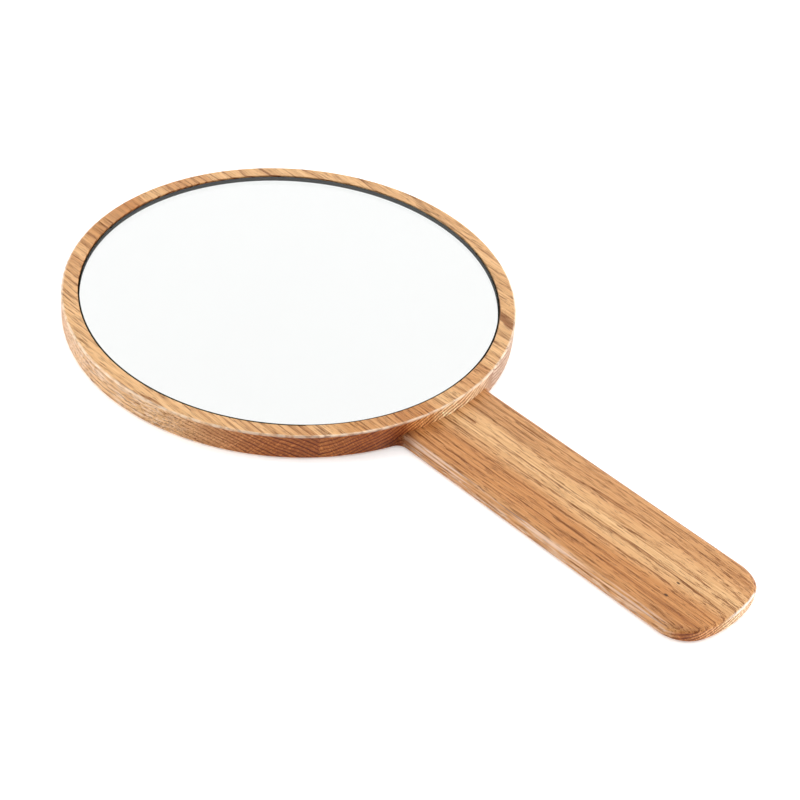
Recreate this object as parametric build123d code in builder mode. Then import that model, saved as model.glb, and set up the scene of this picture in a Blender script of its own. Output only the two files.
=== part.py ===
from build123d import *
import os
from math import atan2, degrees, sqrt

# Hand mirror: a round glass in a flat oak head, with a thinner flat oak handle.
#
# The wooden body is routed from a panel of oak staves glued edge to edge, with the grain
# along the handle. The middle stave runs the whole length and becomes the handle. The glass
# is silvered and painted on its back and bedded on foam tape in a round pocket in the face.
#
# Millimetres. +Z points out of the mirror's face and +Y from the handle to the top of the
# head. The origin is the centre of the head's flat back, which is what the mirror lies on.

# Head
head_radius = 80.0
head_thickness = 9.5
face_arris = 0.4
back_arris = 1.0

# Handle, flush with the back and about half as thick as the head
handle_width = 40.6
handle_thickness = 4.8
handle_end = -201.2
end_curve_radius = 42.4
end_corner_radius = 12.0
edge_round = 2.6
end_trim = 1.2
web_radius = 3.5

# Glued seams between the staves, as distances from the centre line
outer_left_seam = -75.6
left_seam = -46.0
right_seam = 24.0

# Glass and what is behind it
pocket_radius = 74.3
pocket_arris = 0.2
glass_radius = 74.0
glass_thickness = 2.0
glass_arris = 0.3
glass_recess = 0.2
silver_thickness = 0.05
paint_thickness = 0.1
tape_thickness = 1.0
tape_width = 19.0
tape_length = 104.0
tape_spacing = 40.0
tape_rows = 3

# Levels above the back
shoulder = handle_thickness - edge_round
glass_bottom = head_thickness - glass_recess - glass_thickness
silver_bottom = glass_bottom - silver_thickness
paint_bottom = silver_bottom - paint_thickness
pocket_floor = paint_bottom - tape_thickness


def handle_outline(end, curve_radius, corner_radius, level):
    """A face from the head's centre to the handle's end, which is a shallow arc."""
    half = handle_width / 2
    corner = end + curve_radius - sqrt(curve_radius**2 - half**2)
    with BuildSketch(Plane.XY.offset(level)) as outline:
        with BuildLine():
            Line((half, 0), (-half, 0))
            Line((-half, 0), (-half, corner))
            ThreePointArc((-half, corner), (0, end), (half, corner))
            Line((half, corner), (half, 0))
        make_face()
        fillet(outline.vertices().group_by(Axis.Y)[0], corner_radius)
    return outline.sketch


def rounded_handle():
    """The handle with its long edges rounded over, then trimmed square across its end."""
    height = handle_thickness - back_arris
    with BuildPart() as rounded:
        add(
            handle_outline(
                handle_end - end_trim,
                end_curve_radius + end_trim,
                end_corner_radius + end_trim,
                back_arris,
            )
        )
        extrude(amount=height)
        top_edges = rounded.faces().sort_by(Axis.Z)[-1].edges()
        fillet(top_edges.sort_by(Axis.Y)[:-1], edge_round)
    with BuildPart() as trimmed:
        add(handle_outline(handle_end, end_curve_radius, end_corner_radius, back_arris))
        extrude(amount=height)
        add(rounded.part, mode=Mode.INTERSECT)
    return trimmed.part


def right_web():
    """The hollow corner between the head's wall and the handle's right side."""
    x = handle_width / 2 + web_radius
    y = -sqrt((head_radius + web_radius) ** 2 - x**2)
    to_head = degrees(atan2(-y, -x))
    ridge = web_radius + edge_round
    with BuildPart() as web:
        with BuildSketch(Plane(origin=(x, y, 0), x_dir=(-1, 0, 0), z_dir=(0, 1, 0))):
            with BuildLine():
                Line((web_radius, back_arris), (web_radius, shoulder))
                RadiusArc((web_radius, shoulder), (ridge, handle_thickness), edge_round)
                Line((ridge, handle_thickness), (ridge, back_arris))
                Line((ridge, back_arris), (web_radius, back_arris))
            make_face()
        revolve(axis=Axis((x, y, 0), (0, 0, 1)), revolution_arc=to_head - 180)
    return web.part


def routed_panel():
    """Head and handle in one piece, before it is told apart into its staves."""
    with BuildPart() as panel:
        with BuildSketch() as plan:
            Circle(head_radius)
            add(handle_outline(handle_end, end_curve_radius, end_corner_radius, 0))
            side_ends = [v for v in plan.vertices() if abs(abs(v.X) - handle_width / 2) < 0.01]
            fillet(ShapeList(side_ends).group_by(Axis.Y)[-1], web_radius)
        extrude(amount=shoulder)
        fillet(panel.faces().sort_by(Axis.Z)[0].edges(), back_arris)
        add(rounded_handle())
        web = add(right_web())
        mirror(web, about=Plane.YZ)
        with BuildSketch(Plane.XY.offset(back_arris)):
            Circle(head_radius)
        extrude(amount=head_thickness - back_arris)
        with BuildSketch(Plane.XY.offset(pocket_floor)):
            Circle(pocket_radius)
        extrude(amount=head_thickness - pocket_floor, mode=Mode.SUBTRACT)
    return panel.part


def make_stave(panel, label, left=None, right=None):
    """The slice of the panel between two seams. An end stave has only one seam."""
    with BuildPart() as stave:
        add(panel)
        if left is not None:
            split(bisect_by=Plane.YZ.offset(left), keep=Keep.TOP)
        if right is not None:
            split(bisect_by=Plane.YZ.offset(right), keep=Keep.BOTTOM)
        rim_edges = stave.faces().sort_by(Axis.Z)[-1].edges().filter_by(GeomType.CIRCLE)
        outer = [edge for edge in rim_edges if edge.radius > pocket_radius]
        inner = [edge for edge in rim_edges if edge.radius == pocket_radius]
        chamfer(outer, face_arris)
        if inner:
            chamfer(inner, pocket_arris)
    stave.part.label = label
    return stave.part


def make_glass():
    """Float glass, cut round, with both edges seamed."""
    with BuildPart() as mirror_glass:
        with BuildSketch(Plane.XY.offset(glass_bottom)):
            Circle(glass_radius)
        extrude(amount=glass_thickness)
        chamfer(mirror_glass.edges().filter_by(GeomType.CIRCLE), glass_arris)
    mirror_glass.part.label = "mirror_glass"
    return mirror_glass.part


def make_silver():
    """The reflecting coat, within the glass's seamed edge."""
    with BuildPart() as silver_coat:
        with BuildSketch(Plane.XY.offset(silver_bottom)):
            Circle(glass_radius - glass_arris)
        extrude(amount=silver_thickness)
    silver_coat.part.label = "silver_coat"
    return silver_coat.part


def make_paint():
    """The paint that keeps damp off the silver."""
    with BuildPart() as backing_paint:
        with BuildSketch(Plane.XY.offset(paint_bottom)):
            Circle(glass_radius - glass_arris)
        extrude(amount=paint_thickness)
    backing_paint.part.label = "backing_paint"
    return backing_paint.part


def make_tape():
    """Strips of foam tape laid across the staves, which hold the glass in the pocket."""
    with BuildPart() as foam_tape:
        with BuildSketch(Plane.XY.offset(pocket_floor)):
            with GridLocations(0, tape_spacing, 1, tape_rows):
                Rectangle(tape_length, tape_width)
        extrude(amount=tape_thickness)
    foam_tape.part.label = "foam_tape"
    return foam_tape.part


wood = routed_panel()
pieces = [
    make_stave(wood, "outer_left_stave", right=outer_left_seam),
    make_stave(wood, "left_stave", left=outer_left_seam, right=left_seam),
    make_stave(wood, "handle_stave", left=left_seam, right=right_seam),
    make_stave(wood, "right_stave", left=right_seam),
    make_glass(),
    make_silver(),
    make_paint(),
    make_tape(),
]

os.makedirs("parts", exist_ok=True)
for piece in pieces:
    export_step(piece, f"parts/{piece.label}.step")
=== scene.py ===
import math

import bmesh
import bpy
from mathutils import Matrix, Vector


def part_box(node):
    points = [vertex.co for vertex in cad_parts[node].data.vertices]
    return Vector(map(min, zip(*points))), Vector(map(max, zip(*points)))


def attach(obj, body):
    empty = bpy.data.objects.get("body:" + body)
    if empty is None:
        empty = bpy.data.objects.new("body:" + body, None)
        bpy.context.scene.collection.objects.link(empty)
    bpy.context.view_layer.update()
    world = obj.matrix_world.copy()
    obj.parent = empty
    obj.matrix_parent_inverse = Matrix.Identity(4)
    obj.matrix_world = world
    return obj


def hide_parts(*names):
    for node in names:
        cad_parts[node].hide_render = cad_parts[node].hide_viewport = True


# The looks of an oak hand mirror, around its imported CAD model. Metres, in the CAD frame:
# +Z out of the mirror's face, +Y from the handle to the top of the head, z = 0 on the floor.

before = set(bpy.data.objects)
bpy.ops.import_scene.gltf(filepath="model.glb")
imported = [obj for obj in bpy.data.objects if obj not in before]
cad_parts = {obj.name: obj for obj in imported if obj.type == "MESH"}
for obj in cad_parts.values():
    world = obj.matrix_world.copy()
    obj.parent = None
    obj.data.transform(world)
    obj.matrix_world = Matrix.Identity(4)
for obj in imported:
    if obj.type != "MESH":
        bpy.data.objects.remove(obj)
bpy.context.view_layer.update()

MM = 0.001

# Places from the frame
glass_low, glass_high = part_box("mirror_glass")
silver_low, silver_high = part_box("silver_coat")
head_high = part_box("right_stave")[1]
head_radius = head_high.x
face_level = head_high.z
stave_points = [vertex.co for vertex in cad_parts["handle_stave"].data.vertices]
handle_points = [point for point in stave_points if point.y < -1.2 * head_radius]
handle_left = min(point.x for point in handle_points)
handle_end = min(point.y for point in handle_points)
handle_top = max(point.z for point in handle_points)
neck = -math.sqrt(head_radius**2 - handle_left**2)

# The handle's end is an arc of this radius
END_ARC_RADIUS = 42.4 * MM


# ---------------------------------------------------------------------------------------
# Node graphs


class Graph:
    """Adds shader nodes and links them. Inputs are sockets, numbers or colours."""

    def __init__(self, tree):
        self.tree = tree
        tree.nodes.clear()

    def put(self, value, socket):
        if isinstance(value, bpy.types.NodeSocket):
            self.tree.links.new(value, socket)
        else:
            socket.default_value = value

    def add(self, kind, inputs=None, **settings):
        node = self.tree.nodes.new(kind)
        for key, value in settings.items():
            setattr(node, key, value)
        for key, value in (inputs or {}).items():
            self.put(value, node.inputs[key])
        return node

    def math(self, operation, a, b=0.0, c=0.0, clamp=False):
        inputs = {0: a, 1: b, 2: c}
        return self.add("ShaderNodeMath", inputs, operation=operation, use_clamp=clamp).outputs[0]

    def total(self, *terms):
        result = terms[0]
        for term in terms[1:]:
            result = self.math("ADD", result, term)
        return result

    def product(self, *factors):
        result = factors[0]
        for factor in factors[1:]:
            result = self.math("MULTIPLY", result, factor)
        return result

    def gap(self, value, level):
        """How far value is from level, either way."""
        return self.math("ABSOLUTE", self.math("SUBTRACT", value, level))

    def distance(self, a, b):
        node = self.add("ShaderNodeVectorMath", {0: a, 1: b}, operation="DISTANCE")
        return node.outputs["Value"]

    def band(self, value, low, high):
        """Goes smoothly from 0 to 1 as value goes from low to high."""
        inputs = {0: value, 1: low, 2: high}
        node = self.add("ShaderNodeMapRange", inputs, interpolation_type="SMOOTHSTEP")
        return node.outputs[0]

    def fade(self, value, low, high):
        """Goes smoothly from 1 to 0 as value goes from low to high."""
        return self.math("SUBTRACT", 1.0, self.band(value, low, high))

    def mix(self, factor, a, b, blend="MIX", clamp=False):
        settings = {"data_type": "RGBA", "blend_type": blend, "clamp_result": clamp}
        node = self.add("ShaderNodeMix", **settings)
        self.put(factor, node.inputs[0])
        self.put(a, node.inputs[6])
        self.put(b, node.inputs[7])
        return node.outputs[2]

    def ramp(self, factor, stops):
        node = self.add("ShaderNodeValToRGB", {0: factor})
        elements = node.color_ramp.elements
        while len(elements) < len(stops):
            elements.new(0.5)
        for element, (place, colour) in zip(elements, stops):
            element.position = place
            element.color = colour
        return node.outputs[0]

    def vector(self, x, y, z):
        return self.add("ShaderNodeCombineXYZ", {0: x, 1: y, 2: z}).outputs[0]

    def noise(self, vector, detail=2.0, roughness=0.5, scale=1.0):
        inputs = {"Vector": vector, "Scale": scale, "Detail": detail, "Roughness": roughness}
        return self.add("ShaderNodeTexNoise", inputs).outputs[0]

    def stretched(self, point, sizes, shift=0.0):
        """Coordinates for a noise whose blobs measure about sizes, in millimetres."""
        parts = [self.math("MULTIPLY_ADD", v, 1.0 / s, shift) for v, s in zip(point, sizes)]
        return self.vector(*parts)


def new_material(name):
    material = bpy.data.materials.new(name)
    material.use_nodes = True
    return material, Graph(material.node_tree)


def surface(graph, **inputs):
    """A Principled shader on the material's output."""
    named = {key.replace("_", " "): value for key, value in inputs.items()}
    shader = graph.add("ShaderNodeBsdfPrincipled", named)
    graph.add("ShaderNodeOutputMaterial", {"Surface": shader.outputs[0]})


def dress(node, material):
    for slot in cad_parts[node].material_slots:
        slot.material = material


# ---------------------------------------------------------------------------------------
# Oak


def spread(bands):
    """Colours at x in millimetres, as stops of a ramp that runs across the head."""
    return [(0.5 + 0.5 * middle * MM / head_radius, colour) for middle, colour in bands]


def growth_lines(g, cell, spacing, seed):
    """Each year opens with a row of large vessels, stronger in some years than in others.

    cell is the place across, with and along the rings. Returns how far on in the year it
    is, how early the wood is, the line of vessels, and that line as faces show it, thinner
    and broken.
    """
    years = g.math("DIVIDE", cell[0], spacing)
    ring = g.math("FRACT", years)
    year = g.add("ShaderNodeTexWhiteNoise", {"W": g.math("FLOOR", years)}, noise_dimensions="1D")
    strength = g.math("MULTIPLY_ADD", year.outputs["Value"], 0.55, 0.45)
    early = g.fade(ring, 0.12, 0.55)
    opening = g.fade(ring, 0.03, 0.22)
    broken = g.noise(g.stretched(cell, (1.0, 16, 1.0), seed + 13), 2.0)
    broken_line = g.product(opening, strength, g.band(broken, 0.40, 0.56))
    return ring, early, g.product(early, strength), broken_line


def pin_knots(g, wood, x, y, knots):
    """Small dark knots, drawn out along the grain."""
    drawn_out = 0.6
    for knot_x, knot_y, knot_radius in knots:
        middle = (knot_x, drawn_out * knot_y, 0.0)
        away = g.distance(g.vector(x, g.product(y, drawn_out), 0.0), middle)
        knot = g.fade(away, 0.5 * knot_radius, knot_radius)
        wood = g.mix(g.product(knot, 0.9), wood, (0.05, 0.018, 0.008, 1))
    return wood


def with_painted_light(g, wood, point, lean, seed):
    """The wood's colour with painted highlights and painted shade, and how much painted corner
    shade there is.

    point is the place in millimetres and lean is the normal.
    """
    x, y, z = point
    lean_x, _, lean_z = lean
    # Colours of the painted highlights and of the painted shade
    arris_highlight_colour = (0.94, 0.78, 0.61, 1)
    edge_highlight_colour = (0.95, 0.70, 0.54, 1)
    right_edge_shade_tint = (0.62, 0.50, 0.40, 1)
    end_arris_highlight_colour = (0.97, 0.90, 0.84, 1)
    corner_shade_tint = (0.42, 0.26, 0.16, 1)

    # Painted highlight: the arris round the head's face is painted pale, in patches
    radius = g.math("SQRT", g.total(g.product(x, x), g.product(y, y)))
    off_rim = g.total(g.gap(radius, head_radius / MM), g.gap(z, face_level / MM))
    highlight_patches = g.band(g.noise(g.stretched(point, (3, 3, 3), seed + 23), 2.0), 0.42, 0.58)
    arris_highlight = g.product(g.fade(off_rim, 0.25, 0.9), g.math("MULTIPLY_ADD", highlight_patches, 0.40, 0.30))
    wood = g.mix(arris_highlight, wood, arris_highlight_colour)

    # Painted highlight along the handle's left edge, in patches, and painted shade on its right
    # edge
    on_handle = g.math("LESS_THAN", y, neck / MM)
    from_end = g.math("SUBTRACT", y, handle_end / MM)
    left_edge = g.product(g.band(lean_x, -0.30, -0.50), g.band(lean_z, 0.30, 0.60))
    edge_highlight_patches = g.band(g.noise(g.stretched(point, (0.8, 26, 0.8), seed + 17), 2.0), 0.44, 0.64)
    edge_highlight = g.product(left_edge, on_handle, edge_highlight_patches, g.band(from_end, 8.0, 18.0))
    wood = g.mix(g.product(edge_highlight, 0.62), wood, edge_highlight_colour)
    right_edge = g.product(g.band(lean_x, 0.15, 0.50), g.band(lean_z, 0.15, 0.45))
    wood = g.mix(g.product(right_edge, on_handle), wood, right_edge_shade_tint, "MULTIPLY")

    # Painted highlight on the arris of the handle's end, on one side
    arc = END_ARC_RADIUS / MM
    from_middle = g.distance(g.vector(x, y, 0.0), (0.0, handle_end / MM + arc, 0.0))
    off_arris = g.total(g.gap(from_middle, arc), g.gap(z, handle_top / MM - 0.1))
    near_end = g.math("LESS_THAN", from_end, 15.0)
    end_arris_highlight = g.product(g.fade(off_arris, 0.35, 0.75), g.band(x, -6.0, 4.0), near_end)
    wood = g.mix(g.product(end_arris_highlight, 0.85), wood, end_arris_highlight_colour)

    # Painted shade in the corner between handle and head
    corner = (handle_left / MM, neck / MM, 3.0)
    corner_shade = g.fade(g.distance(g.vector(x, y, z), corner), 1.5, 8.0)
    wood = g.mix(g.product(corner_shade, 0.75), wood, corner_shade_tint, "MULTIPLY")
    return wood, corner_shade


def oak(name, slope, spacing, seed, bands, end_tints_and_light, knots=()):
    """Solid oak, its grain along Y, so that faces and end grain belong together.

    slope is the growth rings' angle to the face in degrees, rising towards +X, and spacing
    is their distance. bands are the board's broad colours, each with its x, and the end
    tints after them say what end grain does to them: it is darker with oil, and painted
    paler as painted light where the light from the right falls on it. knots are pin knots,
    each with its x, y and radius. All in millimetres.
    """
    line_tint = (0.38, 0.19, 0.07, 1)
    ray_tint = (1.55, 1.85, 2.2, 1)
    far_end_tint = (0.74, 0.60, 0.48, 1)
    sheen_streak_colour = (0.90, 0.75, 0.61, 1)
    pore_colour = (0.15, 0.040, 0.004, 1)
    shades = [
        (0.0, (0.58, 0.46, 0.36, 1)),
        (0.35, (0.86, 0.80, 0.74, 1)),
        (0.65, (1.0, 1.0, 1.0, 1)),
        (1.0, (1.08, 1.14, 1.22, 1)),
    ]
    material, g = new_material(name)
    place = g.add("ShaderNodeTexCoord").outputs["Object"]
    scaled = g.add("ShaderNodeVectorMath", {0: place, 3: 1.0 / MM}, operation="SCALE")
    point = g.add("ShaderNodeSeparateXYZ", {0: scaled.outputs[0]}).outputs
    x, y, z = point
    normal = g.add("ShaderNodeNewGeometry").outputs["Normal"]
    lean = g.add("ShaderNodeSeparateXYZ", {0: normal}).outputs
    turned = g.math("ABSOLUTE", lean[1])
    end = g.band(turned, 0.22, 0.72)

    # Across and along the growth rings, with the slow wander of a real trunk
    wander = g.noise(g.stretched(point, (26, 150, 26), seed), 1.0)
    ripple = g.noise(g.stretched(point, (4, 34, 4), seed), 2.0)
    rise, run = math.sin(math.radians(slope)), math.cos(math.radians(slope))
    tilted = g.total(g.product(x, -rise), g.product(z, run))
    across = g.total(tilted, g.product(wander, 9.0), g.product(ripple, 1.1))
    along = g.total(g.product(x, run), g.product(z, rise))
    cell = (across, y, along)
    ring, early, line, broken_line = growth_lines(g, cell, spacing, seed)

    # Vessels cut open, fibres, rays and broad streaks
    fine = g.noise(g.stretched(cell, (0.25, 5, 0.25), seed), 1.0)
    coarse = g.noise(g.stretched(cell, (0.30, 19, 0.30), seed + 7), 1.0)
    fibre = g.noise(g.stretched(cell, (0.36, 36, 0.36), seed + 3), 3.0, 0.7)
    grain = g.noise(g.stretched(cell, (2.4, 130, 2.4), seed + 4), 2.0)
    flecks = g.noise(g.stretched(cell, (4, 7, 0.34), seed + 5), 1.0)
    open_early = g.product(early, 0.07)
    vessel = g.band(g.total(fine, open_early), 0.625, 0.69)
    groove = g.band(g.total(coarse, open_early), 0.645, 0.70)
    ray = g.band(flecks, 0.54, 0.64)
    pores = g.math("MAXIMUM", vessel, groove)

    # The board's broad colours, and lighter and darker fibres in them
    drift = g.noise(g.stretched(point, (30, 70, 30), seed + 11), 1.0)
    drifting = g.total(x, g.math("MULTIPLY_ADD", drift, 9.0, -4.5))
    sideways = g.math("MULTIPLY_ADD", drifting, 0.5 * MM / head_radius, 0.5)
    wood = g.ramp(sideways, spread(bands))
    tone = g.total(g.product(fibre, 1.6), g.product(grain, 0.7), g.product(ring, 0.10))
    wood = g.mix(1.0, wood, g.ramp(g.band(tone, 0.72, 1.68), shades), "MULTIPLY")

    # Growth lines, which are whole on end grain and broken on faces
    on_face = g.product(broken_line, 0.78)
    on_end = g.math("MULTIPLY", line, 1.3, clamp=True)
    lines = g.add("ShaderNodeMix", {0: end, 2: on_face, 3: on_end}, data_type="FLOAT")
    wood = g.mix(lines.outputs[0], wood, line_tint, "MULTIPLY")

    # End grain takes up oil differently and is painted paler as painted light from the right, and
    # the rays shine in it
    end_tint_and_light = g.ramp(sideways, spread(end_tints_and_light))
    cut = g.mix(g.band(y, -30, 30), end_tint_and_light, far_end_tint)
    wood = g.mix(end, wood, cut, "MULTIPLY")
    shine = g.product(ray, g.math("MULTIPLY_ADD", end, 0.60, 0.10))
    wood = g.mix(shine, wood, ray_tint, "MULTIPLY", clamp=True)

    # Painted highlight: sides that run with the fibres get pale streaks of painted sheen
    upright = g.fade(g.math("ABSOLUTE", lean[2]), 0.2, 0.5)
    flank = g.product(upright, g.fade(turned, 0.20, 0.50))
    sheen_streaks = g.band(g.noise(g.stretched(point, (0.7, 9, 0.7), seed + 19), 2.0), 0.46, 0.60)
    wood = g.mix(g.product(flank, sheen_streaks, 0.38), wood, sheen_streak_colour)

    wood = g.mix(g.product(pores, 0.80), wood, pore_colour)
    wood = pin_knots(g, wood, x, y, knots)
    # Painted highlights on the arrises, painted shade on the handle's right edge and in its
    # corner
    wood, corner_shade = with_painted_light(g, wood, point, lean, seed)

    # Relief and finish
    height = g.total(g.product(pores, -1.0), g.product(line, -0.4), g.product(fibre, 0.8))
    bump = g.add("ShaderNodeBump", {"Height": height, "Strength": 0.8, "Distance": 0.08 * MM})
    # Rougher in the pores, on end grain and where the corner shade is painted
    dry = g.total(g.product(pores, 0.25), g.product(end, 0.08), g.product(corner_shade, 0.4))
    rough = g.total(dry, g.product(fibre, 0.15), 0.22)
    surface(
        g,
        Base_Color=wood,
        Roughness=rough,
        Normal=bump.outputs[0],
        IOR=1.5,
        Specular_IOR_Level=0.28,
    )
    return material


def dress_staves():
    pale = (0.78, 0.465, 0.22, 1)
    straw = (0.74, 0.44, 0.205, 1)
    tan = (0.64, 0.33, 0.135, 1)
    amber = (0.60, 0.29, 0.10, 1)
    russet = (0.58, 0.26, 0.088, 1)
    outer_bands = [(-80, straw), (-76, straw)]
    left_bands = [(-76, straw), (-64, pale), (-46, tan)]
    handle_bands = [
        (-46, pale),
        (-33, amber),
        (-24, tan),
        (-15, russet),
        (-8, russet),
        (-1, straw),
        (3, straw),
        (10, tan),
    ]
    right_bands = [(24, pale), (50, straw), (70, pale)]
    # brown is the end grain's own oil-darkened tint; the rosy tint and the paler stops of the
    # handle's end tints are painted light, end grain painted paler where the light from the right
    # falls
    brown, lit_rosy = (0.64, 0.33, 0.14, 1), (0.62, 0.66, 0.90, 1)
    brown_ends = [(-80, brown), (-20, brown)]
    handle_ends_and_light = [
        (-23, brown),
        (-18, (0.85, 0.55, 0.36, 1)),
        (-14, (1.32, 1.22, 1.18, 1)),
        (-6, (1.32, 1.60, 2.00, 1)),
        (3, (1.24, 1.42, 1.80, 1)),
        (11, (1.28, 1.65, 2.35, 1)),
        (19, (1.15, 1.45, 2.10, 1)),
        (24, lit_rosy),
    ]
    lit_rosy_ends = [(0, lit_rosy), (80, lit_rosy)]
    end = handle_end / MM
    knots = [(-10.0, end + 19.0, 0.6), (-3.0, end + 19.9, 0.5)]
    looks = {
        "outer_left_stave": oak("oak_outer_left", 12, 1.6, 41.0, outer_bands, brown_ends),
        "left_stave": oak("oak_left", -30, 1.2, 17.0, left_bands, brown_ends),
        "handle_stave": oak("oak_handle", 25, 1.45, 3.0, handle_bands, handle_ends_and_light, knots),
        "right_stave": oak("oak_right", -14, 1.5, 29.0, right_bands, lit_rosy_ends),
    }
    for node, material in looks.items():
        dress(node, material)


# ---------------------------------------------------------------------------------------
# Glass and what is behind it


def lathe(name, profile, segments=256):
    """A closed solid turned about Z. The profile's first and last points are on the axis."""
    mesh = bpy.data.meshes.new(name)
    bm = bmesh.new()
    rings = []
    for radius, level in profile:
        if radius == 0.0:
            rings.append([bm.verts.new((0.0, 0.0, level))])
            continue
        ring = []
        for i in range(segments):
            angle = math.tau * i / segments
            ring.append(bm.verts.new((radius * math.cos(angle), radius * math.sin(angle), level)))
        rings.append(ring)
    for lower, upper in zip(rings, rings[1:]):
        for i in range(segments):
            j = (i + 1) % segments
            corners = [lower[i % len(lower)], lower[j % len(lower)]]
            corners += [upper[j % len(upper)], upper[i % len(upper)]]
            bm.faces.new(dict.fromkeys(corners))
    bmesh.ops.recalc_face_normals(bm, faces=bm.faces)
    bm.to_mesh(mesh)
    bm.free()
    piece = bpy.data.objects.new(name, mesh)
    bpy.context.scene.collection.objects.link(piece)
    return piece


def clear_glass():
    """Float glass, faintly green."""
    material, g = new_material("float_glass")
    surface(
        g,
        Base_Color=(0.992, 0.997, 0.994, 1),
        Roughness=0.0,
        IOR=1.52,
        Transmission_Weight=1.0,
    )
    return material


def ground_edge():
    """The seamed edge of the glass, dark green because light inside it doesn't get out."""
    material, g = new_material("ground_glass_edge")
    place = g.add("ShaderNodeTexCoord").outputs["Object"]
    grit = g.noise(place, 3.0, 0.6, 2500.0)
    colour = g.mix(grit, (0.003, 0.008, 0.006, 1), (0.012, 0.022, 0.018, 1))
    bump = g.add("ShaderNodeBump", {"Height": grit, "Strength": 0.4, "Distance": 0.02 * MM})
    rough = g.math("MULTIPLY_ADD", grit, 0.2, 0.5)
    surface(
        g,
        Base_Color=colour,
        Roughness=rough,
        Normal=bump.outputs[0],
        IOR=1.5,
        Specular_IOR_Level=0.1,
    )
    return material


def silvering():
    """Silver on glass, with the faint cloudiness of a real coat."""
    material, g = new_material("silvering")
    place = g.add("ShaderNodeTexCoord").outputs["Object"]
    cloud = g.noise(place, 3.0, 0.6, 30.0)
    colour = g.mix(cloud, (0.965, 0.968, 0.967, 1), (0.980, 0.982, 0.981, 1))
    surface(g, Base_Color=colour, Roughness=0.0, Metallic=1.0)
    return material


def make_glass():
    radius, arris = glass_high.x, 0.3 * MM
    low, high = glass_low.z, glass_high.z
    profile = [
        (0.0, low),
        (radius - arris, low),
        (radius, low + arris),
        (radius, high - arris),
        (radius - arris, high),
        (0.0, high),
    ]
    glass = lathe("glass_disc", profile)
    glass.data.materials.append(clear_glass())
    glass.data.materials.append(ground_edge())
    for face in glass.data.polygons:
        face.material_index = 0 if abs(face.normal.z) > 0.99 else 1
    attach(glass, "root")
    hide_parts("mirror_glass")


def make_silver():
    """The coat stands a hair clear of the glass, so that the two faces don't coincide."""
    clear = 0.01 * MM
    radius = silver_high.x
    low, high = silver_low.z, silver_high.z - clear
    silver = lathe("silver_disc", [(0.0, low), (radius, low), (radius, high), (0.0, high)])
    silver.data.materials.append(silvering())
    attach(silver, "root")
    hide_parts("silver_coat")


def dress_backing():
    """Paint and tape, hidden under the glass."""
    material, g = new_material("backing_paint")
    place = g.add("ShaderNodeTexCoord").outputs["Object"]
    brushed = g.noise(place, 4.0, 0.6, 180.0)
    colour = g.mix(brushed, (0.05, 0.055, 0.06, 1), (0.10, 0.11, 0.12, 1))
    rough = g.math("MULTIPLY_ADD", brushed, 0.2, 0.6)
    surface(g, Base_Color=colour, Roughness=rough)
    dress("backing_paint", material)

    material, g = new_material("foam_tape")
    place = g.add("ShaderNodeTexCoord").outputs["Object"]
    cells = g.noise(place, 2.0, 0.6, 2200.0)
    colour = g.mix(cells, (0.55, 0.55, 0.52, 1), (0.78, 0.78, 0.75, 1))
    bump = g.add("ShaderNodeBump", {"Height": cells, "Strength": 0.5, "Distance": 0.1 * MM})
    surface(g, Base_Color=colour, Roughness=0.85, Normal=bump.outputs[0])
    dress("foam_tape", material)


# ---------------------------------------------------------------------------------------
# Stage, light and camera


def make_floor():
    """A white table, lit a little from below as for a catalogue picture."""
    reach = 4.0
    mesh = bpy.data.meshes.new("floor")
    bm = bmesh.new()
    bmesh.ops.create_grid(bm, x_segments=8, y_segments=8, size=reach)
    bm.to_mesh(mesh)
    bm.free()
    floor = bpy.data.objects.new("floor", mesh)
    hair_below = 0.1 * MM
    floor.location.z = -hair_below
    bpy.context.scene.collection.objects.link(floor)
    material, g = new_material("pale_floor")
    place = g.add("ShaderNodeTexCoord").outputs["Object"]
    tone = g.noise(place, 2.0, 0.5, 3.0)
    colour = g.mix(tone, (0.90, 0.90, 0.90, 1), (0.92, 0.92, 0.92, 1))
    surface(
        g,
        Base_Color=colour,
        Roughness=0.7,
        Emission_Color=(1, 1, 1, 1),
        Emission_Strength=0.36,
    )
    floor.data.materials.append(material)


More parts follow.
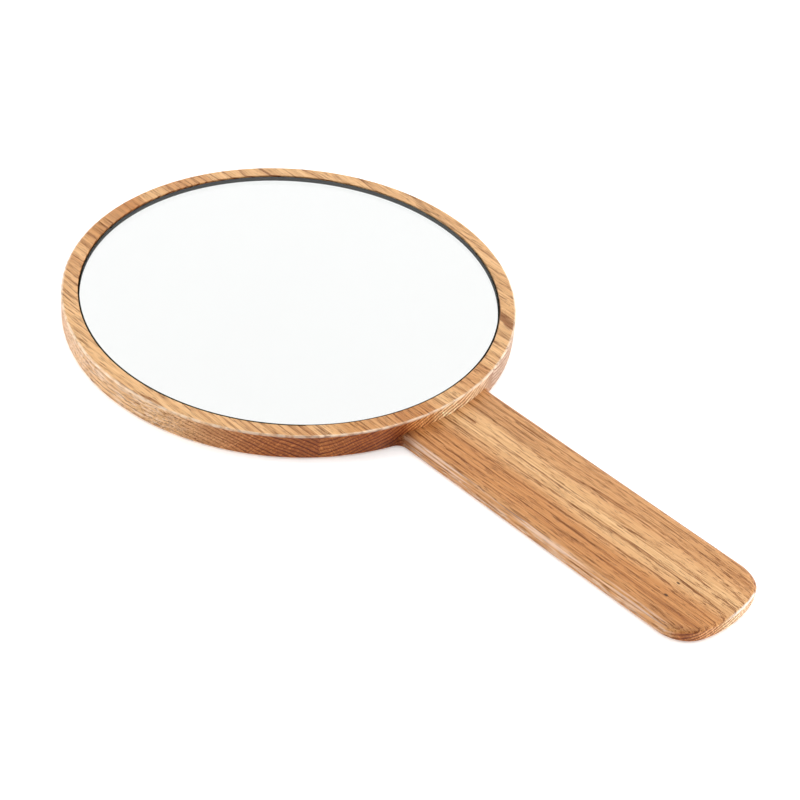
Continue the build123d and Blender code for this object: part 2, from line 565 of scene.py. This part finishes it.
def light_world():
    """A white room, brightest overhead and dark on the camera's side."""
    world = bpy.data.worlds.new("studio")
    bpy.context.scene.world = world
    world.use_nodes = True
    g = Graph(world.node_tree)
    direction = g.add("ShaderNodeTexCoord").outputs["Generated"]
    height = g.add("ShaderNodeSeparateXYZ", {0: direction}).outputs[2]
    brightest = 2.25
    levels = [(0.0, 1.06), (0.48, 1.06), (0.76, 0.97), (1.0, brightest)]
    greys = [(place, (*3 * [level / brightest], 1)) for place, level in levels]
    room = g.ramp(height, greys)
    bearing = math.radians(-118)
    dark_side = (math.cos(bearing), math.sin(bearing), 0.0)
    facing = g.add("ShaderNodeVectorMath", {0: direction, 1: dark_side}, operation="DOT_PRODUCT")
    shade = g.band(facing.outputs["Value"], 0.05, 0.70)
    colour = g.mix(shade, room, (0.056, 0.052, 0.047, 1))
    background = g.add("ShaderNodeBackground", {"Color": colour, "Strength": brightest})
    g.add("ShaderNodeOutputWorld", {"Surface": background.outputs[0]})


def softbox(name, place, size, watts):
    data = bpy.data.lights.new(name, "AREA")
    data.shape = "RECTANGLE"
    data.size, data.size_y = size
    data.energy = watts
    box = bpy.data.objects.new(name, data)
    box.location = place
    to_origin = -Vector(place)
    box.rotation_euler = to_origin.to_track_quat("-Z", "Y").to_euler()
    bpy.context.scene.collection.objects.link(box)
    return box


def make_camera():
    """Looks down along the mirror from the left of its handle."""
    azimuth, elevation, roll = map(math.radians, (-48.40, 38.72, 6.42))
    distance = 8.25 * head_radius
    target = Vector((-0.1569 * head_radius, -0.8515 * head_radius, face_level))
    back = Vector((
        math.sin(azimuth) * math.cos(elevation),
        -math.cos(azimuth) * math.cos(elevation),
        math.sin(elevation),
    ))
    level = Vector((0, 0, 1)).cross(back).normalized()
    upright = back.cross(level)
    right = math.cos(roll) * level + math.sin(roll) * upright
    up = math.cos(roll) * upright - math.sin(roll) * level
    data = bpy.data.cameras.new("camera")
    data.lens = 89.58
    data.sensor_width = 36.0
    data.clip_start = 0.01
    camera = bpy.data.objects.new("camera", data)
    turn = Matrix((right, up, back)).transposed().to_4x4()
    camera.matrix_world = Matrix.Translation(target + distance * back) @ turn
    bpy.context.scene.collection.objects.link(camera)
    bpy.context.scene.camera = camera


make_camera()
dress_staves()
make_glass()
make_silver()
dress_backing()
make_floor()
light_world()
softbox("left_softbox", (-0.75, 0.67, 0.40), (0.40, 0.28), 3.2)
low_light = softbox("right_softbox", (0.82, -0.575, 0.13), (0.6, 0.2), 11.0)
low_light.visible_glossy = False
bpy.context.scene.view_settings.view_transform = "Standard"
